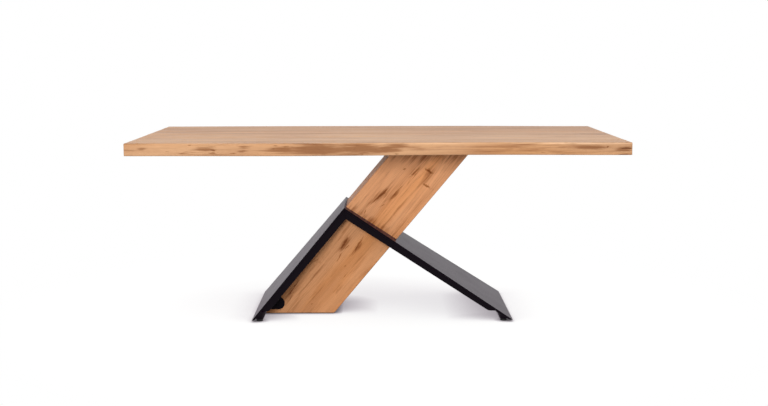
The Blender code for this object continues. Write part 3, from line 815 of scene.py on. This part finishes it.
def add_piece(name):
    """Names the object just added and fixes its place into its mesh."""
    piece = bpy.context.object
    piece.name = name
    bpy.ops.object.transform_apply(location=True, rotation=True, scale=True)
    return piece


def upright_axis(low, high):
    return (low.x + high.x) / 2, (low.y + high.y) / 2


def clean_copy(node, name):
    """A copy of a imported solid, with its loose triangles merged back into whole faces."""
    piece = bpy.data.objects.new(name, NODES[node].data.copy())
    bpy.context.scene.collection.objects.link(piece)
    open_edit(piece)
    bpy.ops.mesh.remove_doubles(threshold=MERGE_GAP)
    bpy.ops.mesh.dissolve_limited(angle_limit=FLAT_ANGLE)
    close_edit()
    return piece


def set_grain(piece, origin, along, across, board):
    """Writes to each vertex where it lies in its board: along the grain, across it and into the depth."""
    along, across = Vector(along).normalized(), Vector(across).normalized()
    rows = Matrix((along, across, along.cross(across)))
    piece.data.attributes.new("grain", "FLOAT_VECTOR", "POINT")
    piece.data.attributes.new("board", "FLOAT", "POINT")
    grain = piece.data.attributes["grain"].data
    number = piece.data.attributes["board"].data
    for vertex in piece.data.vertices:
        grain[vertex.index].vector = rows @ (vertex.co - Vector(origin))
        number[vertex.index].value = board


def hand_over(piece, slot, *nodes, body="table", finish=None):
    """Gives the piece its finish, lets it ride on its body, and hides the solids it stands for."""
    piece.data.materials.clear()
    piece.data.materials.append(finish or FINISHES[slot])
    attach(piece, body)
    if nodes:
        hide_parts(*nodes)


print("modelling helpers ready")

# %% [markdown]
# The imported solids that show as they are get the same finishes, by the slot that the record gives them.

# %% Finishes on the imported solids
slot_of = {row["node"]: row["material_slot"] for row in frame["record"]["subparts"]}
for node, solid in NODES.items():
    solid.data.materials.clear()
    solid.data.materials.append(FINISHES[slot_of[node]])
print("slots read for", len(slot_of), "solids")

# %% [markdown]
# The top is seven planks glued side by side. The two outer ones keep a wavy natural edge.
# A cube is cut into short lengths, and its outer side is pushed to the natural line.
# A bevel then rounds each edge by its own weight: full on the rim, and a hair on the glue lines.
# Last, the recesses for the two steel channels are cut into the underside.

# %% Top planks
PLANK_COUNT = 7
PLANK_CUTS = 79
EDGE_ROWS = 5
RIM_ROUND = 0.0048
GLUE_LINE_ROUND = 0.0005
CORNER_WEIGHT = 0.6
TOUCH = 1e-5
EDGE_RIPPLE = 0.0012
EDGE_HOLLOW = 0.0010
CHANNEL_ROOM = Vector((0.0003, 0.0003, 0.0003))
CHANNEL_OPENING = Vector((0, 0, 0.01))
HALF_LENGTH = CAD_BOX[1][0]
HALF_DEPTH = CAD_BOX[1][1]
FALLS = {
    -1: ((-1.0, 0.013), (-0.38, 0.0), (0.42, 0.034), (1.0, 0.013)),
    1: ((-1.0, 0.010), (-0.42, 0.0), (0.30, 0.006), (1.0, 0.042)),
}


def fall_at(falls, x):
    """How far the natural edge stands back from the widest place, in cosine swells."""
    share = max(-1.0, min(1.0, x / HALF_LENGTH))
    for (start, low), (end, high) in zip(falls, falls[1:]):
        if share <= end:
            swell = (1 - math.cos(math.pi * (share - start) / (end - start))) / 2
            return low + (high - low) * swell
    return falls[-1][1]


def natural_line(side, x, z, low, high):
    """The y of the natural edge: side is -1 at the front and 1 at the back."""
    fall = fall_at(FALLS[side], x)
    rise = (z - low) / (high - low)
    highlight = EDGE_RIPPLE * (1 + noise.noise(Vector((x * 7, z * 30, side * 3))))
    hollow = EDGE_HOLLOW * (2 * rise - 1) ** 2
    return side * (HALF_DEPTH - fall - highlight - hollow)


def touches(value, *places):
    return min(abs(value - place) for place in places) < TOUCH


def shape_natural_edge(plank, side, low, high):
    outer = low.y if side < 0 else high.y
    open_edit(plank)
    choose(plank, "edges", lambda edge: abs(span(edge).x) > 0.5)
    bpy.ops.mesh.subdivide(number_cuts=PLANK_CUTS)
    choose(plank, "edges", lambda edge: touches(middle(edge).y, outer) and abs(span(edge).z) > 0.01)
    bpy.ops.mesh.subdivide(number_cuts=EDGE_ROWS)
    mesh = bmesh.from_edit_mesh(plank.data)
    for vertex in mesh.verts:
        if touches(vertex.co.y, outer):
            vertex.co.y = natural_line(side, vertex.co.x, vertex.co.z, low.z, high.z)
    bmesh.update_edit_mesh(plank.data)
    close_edit()


def weigh_edges(plank, side, low, high):
    """Gives each edge of the plank its share of the rounding."""
    weights = plank.data.attributes.new("bevel_weight_edge", "FLOAT", "EDGE")
    points = plank.data.vertices
    half_way = (low.y + high.y) / 2
    for edge in plank.data.edges:
        first, second = (points[index].co for index in edge.vertices)
        flat = touches(first.z, second.z)
        along = not touches(first.x, second.x)
        on_rim_height = flat and touches(first.z, low.z, high.z)
        at_end = not along and touches(first.x, low.x, high.x)
        outside = side * ((first.y + second.y) / 2 - half_way) > 0.02
        weight = 0.0
        if on_rim_height and (at_end or (along and outside)):
            weight = 1.0
        elif on_rim_height and along and touches(first.y, low.y, high.y):
            weight = GLUE_LINE_ROUND / RIM_ROUND
        elif at_end and outside and not flat:
            weight = CORNER_WEIGHT
        weights.data[edge.index].value = weight


def make_plank(number):
    low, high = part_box(f"top_board_{number}")
    side = {1: -1, PLANK_COUNT: 1}.get(number, 0)
    add_box(low, high)
    plank = add_piece(f"plank_{number}")
    if side:
        shape_natural_edge(plank, side, low, high)
    weigh_edges(plank, side, low, high)
    apply_modifier(plank, "BEVEL", width=RIM_ROUND, segments=4, limit_method="WEIGHT", harden_normals=False)
    for channel in ("stiffener_left", "stiffener_right"):
        inner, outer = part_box(channel)
        add_box(inner - CHANNEL_ROOM - CHANNEL_OPENING, outer + CHANNEL_ROOM)
        cut_away(plank)
    smooth(plank, 40)
    set_grain(plank, (low + high) / 2, (1, 0, 0), (0, 1 if number % 2 else -1, 0), number)
    hand_over(plank, "oak_top", f"top_board_{number}")
    return plank


planks = [make_plank(number) for number in range(1, PLANK_COUNT + 1)]
print("planks:", [len(plank.data.polygons) for plank in planks])

# %% [markdown]
# The leg is two short boxes of mitred oak boards, one on each side of the steel.
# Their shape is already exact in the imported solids, where leaning cuts meet at odd angles.
# So each board is a merged copy of its solid, with its sharp edges rounded as sandpaper leaves them.

# %% Leg boards
LEG_ROUND = 0.0012
FIRST_LEG_BOARD = 11
ALONG_LEG = Vector((math.cos(LEG_LEAN), 0, math.sin(LEG_LEAN)))
ACROSS_LEG = Vector((math.sin(LEG_LEAN), 0, -math.cos(LEG_LEAN)))


def make_leg_board(part, side, board):
    node = f"{part}_leg_{side}"
    piece = clean_copy(node, f"{part}_board_{side}")
    soften(piece, LEG_ROUND, 3, 25, 40)
    low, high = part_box(node)
    across = ACROSS_LEG if side in ("front", "back") else Vector((0, 1, 0))
    set_grain(piece, (low + high) / 2, ALONG_LEG, across, board)
    hand_over(piece, "oak_leg", node, finish=UPPER_OAK if part == "upper" else LOWER_OAK)
    return piece


LEG_SIDES = ("front", "right", "back", "left")
leg_boards = [
    make_leg_board(part, side, FIRST_LEG_BOARD + len(LEG_SIDES) * row + column)
    for row, part in enumerate(("upper", "lower"))
    for column, side in enumerate(LEG_SIDES)
]
print("leg boards:", [len(piece.data.polygons) for piece in leg_boards])

# %% [markdown]
# The steel V is plate, cut by laser and welded. Powder coat rounds every edge a little.
# A merged copy of each solid with a bevel of a millimetre gives the thin line of light along the edges.

# %% Steel plates and flanges
STEEL_ROUND = 0.0011
STEEL_NODES = ["left_plate", "right_plate", "mounting_plate"] + [
    f"{side}_flange_{face}" for side in ("left", "right") for face in ("front", "back")
] + ["toe_ear_front", "toe_ear_back"]


def make_steel(node):
    piece = clean_copy(node, f"{node}_coated")
    soften(piece, STEEL_ROUND, 3, 30)
    hand_over(piece, "coated_steel", node)
    return piece


steel = [make_steel(node) for node in STEEL_NODES]
print("steel pieces:", [len(piece.data.polygons) for piece in steel])

# %% [markdown]
# Round parts are turned, as on a lathe: a disc is pulled upwards and resized, ring after ring.
# A socket is a six-sided cutter taken out of the head. A weld follows an edge that the steel already has.
# That edge is copied out as a line, given a round section, and every second ring is swollen for the ripples.

# %% Turning, sockets and welds
ROUND_SIDES = 48
SMALL_SIDES = 32
WELD_RIPPLE = 0.12
WELD_RING = 8


def turn(name, x, y, profile, sides=ROUND_SIDES):
    """A turned piece on an upright axis. The profile is a list of (radius, z) from the bottom up."""
    radius, height = profile[0]
    bpy.ops.mesh.primitive_circle_add(
        vertices=sides, radius=radius, fill_type="NGON", location=(x, y, height)
    )
    piece = add_piece(name)
    open_edit(piece)
    for wider, higher in profile[1:]:
        bpy.ops.mesh.extrude_region_move(TRANSFORM_OT_translate={"value": (0, 0, higher - height)})
        ratio = wider / radius
        bpy.ops.transform.resize(value=(ratio, ratio, 1), center_override=(x, y, higher))
        radius, height = wider, higher
    face_outwards()
    close_edit()
    return piece


def cut_socket(piece, x, y, bottom, top, radius):
    """Takes a six-sided socket out of the piece."""
    bpy.ops.mesh.primitive_cylinder_add(
        vertices=6, radius=radius, depth=top - bottom, location=(x, y, (top + bottom) / 2)
    )
    cut_away(piece)


def take_edges(piece, name, test):
    """Copies the edges that pass the test into a piece of their own."""
    before = set(bpy.data.objects)
    open_edit(piece)
    found = choose(piece, "edges", test)
    bpy.ops.mesh.duplicate()
    bpy.ops.mesh.separate(type="SELECTED")
    close_edit()
    line = (set(bpy.data.objects) - before).pop()
    line.name = name
    print(name, "follows", found, "edges")
    return line


def lay_weld(line, cuts, radius, stitch=None):
    """Turns a line of edges into a rippled weld bead. Stitch is (length, pitch) for a bead with gaps."""
    open_edit(line)
    bpy.ops.mesh.subdivide(number_cuts=cuts)
    if stitch:
        places = [vertex.co.copy() for vertex in bmesh.from_edit_mesh(line.data).verts]
        start = min(places, key=lambda place: place.z)
        choose(line, "edges", lambda edge: (middle(edge) - start).length % stitch[1] > stitch[0])
        bpy.ops.mesh.delete(type="EDGE")
    close_edit()
    only(line)
    bpy.ops.object.convert(target="CURVE")
    bead = bpy.context.object
    bead.data.bevel_depth = radius
    bead.data.bevel_resolution = 2
    bpy.ops.object.convert(target="MESH")
    bead = bpy.context.object
    open_edit(bead)
    choose(bead, "verts", lambda vertex: (vertex.index // WELD_RING) % 2 == 0)
    bpy.ops.transform.shrink_fatten(value=radius * WELD_RIPPLE)
    face_outwards(WELD_RING)
    close_edit()
    smooth(bead, 60)
    return bead


print("turning, sockets and welds ready")

# %% [markdown]
# Each steel leg stands on two levelling feet: a tapered boss on the plate, and a pad that screws into it.
# The boss is a merged copy of its solid with softened edges, and a weld runs round it on the plate.
# The pad is turned from plastic, with a band of small flats for the fingers.
# Its stem is a plain core with one ridge wound round it by the Screw modifier.

# %% Levelling feet
FEET = [f"{side}_{face}" for side in ("left", "right") for face in ("front", "back")]
PLATE_LEANS = {"left": 50.0, "right": 33.1}
PAD_PROFILE = [
    (0.0122, 0.0), (0.0130, 0.0004), (0.0135, 0.0012), (0.0135, 0.0046),
    (0.0131, 0.0050), (0.0131, 0.0056), (0.0135, 0.0060), (0.0135, 0.0074),
    (0.0131, 0.0082), (0.0118, 0.0087), (0.0078, 0.0089), (0.0074, 0.0095),
]
PAD_FLAT_BAND = (0.0012, 0.0046)
PAD_FLAT_RIM = 0.00015
PAD_FLAT_DEPTH = 0.0004
THREAD_PITCH = 0.0015
THREAD_CORE = 0.0041
THREAD_CREST = 0.0049
THREAD_TURNS = 4
THREAD_STEPS = 32
THREAD_WIDTH = 0.85 * THREAD_PITCH
THREAD_ROOT = 0.0002
THREAD_START = 0.0010
CREST_SHARE = 0.2
STEM_CHAMFER = 0.0006
BOSS_WELD = 0.0032
BOSS_WELD_CUTS = 2
BOSS_ROUND = 0.0006


def plate_normal(side):
    """The upward normal of the left or right steel plate."""
    lean = math.radians(PLATE_LEANS[side])
    return Vector((-math.sin(lean) if side == "left" else math.sin(lean), 0, math.cos(lean)))


def on_rim(normal):
    """A test for the edges round the face that looks along the normal."""
    return lambda edge: sum(face.normal.dot(normal) > 0.999 for face in edge.link_faces) == 1


def make_boss(foot):
    normal = plate_normal(foot.split("_")[0])
    boss = clean_copy(f"foot_boss_{foot}", f"boss_{foot}")
    seam = take_edges(boss, f"boss_weld_{foot}", on_rim(normal))
    hand_over(lay_weld(seam, BOSS_WELD_CUTS, BOSS_WELD), "coated_steel")
    soften(boss, BOSS_ROUND, 2, 40)
    hand_over(boss, "coated_steel", f"foot_boss_{foot}")
    return boss


def make_pad(foot):
    low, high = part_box(f"foot_pad_{foot}")
    x, y = upright_axis(low, high)
    pad = turn(f"pad_{foot}_turned", x, y, PAD_PROFILE)
    open_edit(pad)

    def is_flat(face):
        away = face.calc_center_median() - Vector((x, y, 0))
        column = math.atan2(away.y, away.x) / (2 * math.pi) * ROUND_SIDES
        return PAD_FLAT_BAND[0] < away.z < PAD_FLAT_BAND[1] and math.floor(column) % 2 == 0

    choose(pad, "faces", is_flat)
    bpy.ops.mesh.inset(thickness=PAD_FLAT_RIM, depth=-PAD_FLAT_DEPTH, use_individual=True)
    close_edit()
    smooth(pad, 30)
    hand_over(pad, "black_plastic", f"foot_pad_{foot}", body=f"pad_{foot}")
    return pad


def make_stem(foot):
    low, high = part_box(f"foot_stem_{foot}")
    x, y = upright_axis(low, high)
    narrow = THREAD_CORE - STEM_CHAMFER
    core = [(narrow, low.z), (THREAD_CORE, low.z + STEM_CHAMFER)]
    core += [(THREAD_CORE, high.z - STEM_CHAMFER), (narrow, high.z)]
    stem = turn(f"stem_{foot}_threaded", 0, 0, core, SMALL_SIDES)
    bpy.ops.mesh.primitive_plane_add(size=1, location=(0, 0, 0))
    ridge = add_piece(f"ridge_{foot}")
    inner = THREAD_CORE - THREAD_ROOT
    open_edit(ridge)
    bpy.ops.transform.rotate(value=math.pi / 2, orient_axis="X", center_override=(0, 0, 0))
    bpy.ops.transform.resize(value=(THREAD_CREST - inner, 1, THREAD_WIDTH))
    bpy.ops.transform.translate(value=((THREAD_CREST + inner) / 2, 0, low.z + THREAD_START))
    choose(ridge, "verts", lambda vertex: vertex.co.x > THREAD_CORE + THREAD_ROOT)
    bpy.ops.transform.resize(value=(1, 1, CREST_SHARE))
    bpy.ops.mesh.select_all(action="SELECT")
    bpy.ops.mesh.delete(type="ONLY_FACE")
    close_edit()
    apply_modifier(
        ridge,
        "SCREW",
        axis="Z",
        screw_offset=THREAD_PITCH,
        iterations=THREAD_TURNS,
        steps=THREAD_STEPS,
        render_steps=THREAD_STEPS,
        use_normal_calculate=True,
    )
    open_edit(ridge)
    face_outwards(4)
    close_edit()
    only(stem)
    ridge.select_set(True)
    bpy.ops.object.join()
    bpy.ops.transform.translate(value=(x, y, 0))
    bpy.ops.object.transform_apply(location=True, rotation=True, scale=True)
    smooth(stem, 30)
    hand_over(stem, "zinc_steel", f"foot_stem_{foot}", body=f"stem_{foot}")
    return stem


for foot in FEET:
    parts = make_boss(foot), make_pad(foot), make_stem(foot)
    print("foot", foot, [len(piece.data.polygons) for piece in parts])

# %% [markdown]
# Inside each steel leg the flanges are stitched to the plate with short welds, to keep the heat down.
# The two ears on the timber toe are welded to the plate with one bead each.

# %% Stitch welds
FLANGE_WELD = 0.0030
FLANGE_WELD_CUTS = 250
SHORTEST_FLANGE_SEAM = 0.25
STITCH = (0.040, 0.125)
EAR_WELD = 0.0022
EAR_WELD_CUTS = 24
SHORTEST_EAR_SEAM = 0.02


def seam_between(normal, y_look, shortest):
    """A test for the edge between the face along the normal and the one that looks to the front or back."""

    def test(edge):
        if span(edge).length < shortest or len(edge.link_faces) != 2:
            return False
        looks_up = any(face.normal.dot(normal) > 0.99 for face in edge.link_faces)
        return looks_up and any(face.normal.y * y_look > 0.9 for face in edge.link_faces)

    return test


def weld_seam(node, name, test, cuts, radius, stitch=None):
    """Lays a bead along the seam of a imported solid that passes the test."""
    source = clean_copy(node, "seam_source")
    seam = take_edges(source, name, test)
    bpy.data.objects.remove(source, do_unlink=True)
    hand_over(lay_weld(seam, cuts, radius, stitch=stitch), "coated_steel")


for foot in FEET:
    side, face = foot.split("_")
    inward = seam_between(plate_normal(side), 1 if face == "front" else -1, SHORTEST_FLANGE_SEAM)
    weld_seam(f"{side}_flange_{face}", f"stitches_{foot}", inward, FLANGE_WELD_CUTS, FLANGE_WELD, STITCH)
for face, y_look in (("front", -1), ("back", 1)):
    outward = seam_between(plate_normal("left"), y_look, SHORTEST_EAR_SEAM)
    weld_seam(f"toe_ear_{face}", f"ear_weld_{face}", outward, EAR_WELD_CUTS, EAR_WELD)

# %% [markdown]
# Six flange-head bolts hold the mounting plate, with sockets for a hex key.
# Pan-head screws hold the stiffeners in their slots, so that the wood can still move under them.
# Two small screws in each ear hold the timber toe to the steel.

# %% Bolts and screws
BOLT_COUNT = 6
BOLT_HEAD = 0.0044
BOLT_HEAD_PROFILE = [
    (0.58, 0.0), (0.70, 0.0003), (0.80, 0.0011), (0.83, 0.0026),
    (0.98, 0.0031), (1.0, 0.0036), (1.0, BOLT_HEAD),
]
BOLT_SHANK = 0.0038
BOLT_TIP = (0.0030, 0.0008)
BOLT_SOCKET = 0.0030
SLOT_PLACES = [0.13 * step for step in range(-3, 4)]
SCREW_HEAD = 0.0052
SCREW_HEAD_PROFILE = [(0.62, 0.0026), (0.84, 0.0023), (0.96, 0.0015), (1.0, 0.0006), (1.0, 0.0)]
SCREW_SHANK = 0.0021
SCREW_TIP = (0.0006, 0.002)
SCREW_SOCKET = 0.0019
STIFFENER_SCREW = 0.008
EAR_SCREW = 0.005
EAR_PLACE = Vector((-0.4324, 0.0, 0.0478))
EAR_FACE = 0.1323
EAR_SCREW_STEP = 0.011


def make_bolt(number):
    low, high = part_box(f"top_bolt_{number}")
    x, y = upright_axis(low, high)
    wide = (high.x - low.x) / 2
    profile = [(wide * share, low.z + rise) for share, rise in BOLT_HEAD_PROFILE]
    profile += [(BOLT_SHANK, low.z + BOLT_HEAD), (BOLT_SHANK, high.z - BOLT_TIP[1]), (BOLT_TIP[0], high.z)]
    bolt = turn(f"bolt_{number}_turned", x, y, profile)
    cut_socket(bolt, x, y, low.z - 0.001, low.z + 0.0024, BOLT_SOCKET)
    smooth(bolt, 30)
    hand_over(bolt, "zinc_steel", f"top_bolt_{number}")
    return bolt


def make_screw(name, x, y, seat, shank, finish="zinc_steel"):
    """A pan-head screw, head down, whose head touches z = seat."""
    tip = seat + shank
    profile = [(SCREW_HEAD * share, seat - drop) for share, drop in SCREW_HEAD_PROFILE]
    profile += [(SCREW_SHANK, seat), (SCREW_SHANK, tip - SCREW_TIP[1]), (SCREW_TIP[0], tip)]
    screw = turn(name, x, y, profile, SMALL_SIDES)
    cut_socket(screw, x, y, seat - 0.0036, seat - 0.0012, SCREW_SOCKET)
    smooth(screw, 30)
    hand_over(screw, finish)
    return screw


def make_ear_screw(face, step):
    """The same screw, tipped over so that its head lies on the ear."""
    y_side = -1 if face == "front" else 1
    name = f"ear_screw_{face}_{'upper' if step > 0 else 'lower'}"
    screw = make_screw(name, 0, 0, 0, EAR_SCREW, "coated_steel")
    place = EAR_PLACE + ALONG_LEG * step + Vector((0, y_side * EAR_FACE, 0))
    open_edit(screw)
    bpy.ops.transform.rotate(value=-y_side * math.pi / 2, orient_axis="X", center_override=(0, 0, 0))
    bpy.ops.transform.translate(value=place)
    close_edit()
    return screw


bolts = [make_bolt(number) for number in range(1, BOLT_COUNT + 1)]
screws = []
for side in ("left", "right"):
    low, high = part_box(f"stiffener_{side}")
    x = (low.x + high.x) / 2
    for row, y in enumerate(SLOT_PLACES, 1):
        screws.append(make_screw(f"stiffener_screw_{side}_{row}", x, y, low.z, STIFFENER_SCREW))
for face in ("front", "back"):
    screws += [make_ear_screw(face, step) for step in (-EAR_SCREW_STEP, EAR_SCREW_STEP)]
print("bolts:", len(bolts), "screws:", len(screws))

# %% [markdown]
# What is left is plain: channels let into the underside, and felt glides under the timber toe.

# %% Stiffeners and glides
STIFFENER_ROUND = 0.0005
GLIDE_PROFILE = [(0.0132, 0.0), (0.0139, 0.0004), (0.0140, 0.0012), (0.0140, 0.0029), (0.0136, 0.0037)]

for side in ("left", "right"):
    node = f"stiffener_{side}"
    piece = clean_copy(node, f"{node}_rounded")
    soften(piece, STIFFENER_ROUND, 2, 40)
    hand_over(piece, slot_of[node], node)
for foot in FEET:
    low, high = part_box(f"leg_glide_{foot}")
    glide = turn(f"glide_{foot}_felt", *upright_axis(low, high), GLIDE_PROFILE, SMALL_SIDES)
    smooth(glide, 40)
    hand_over(glide, "felt", f"leg_glide_{foot}")
print("stiffeners and glides ready")
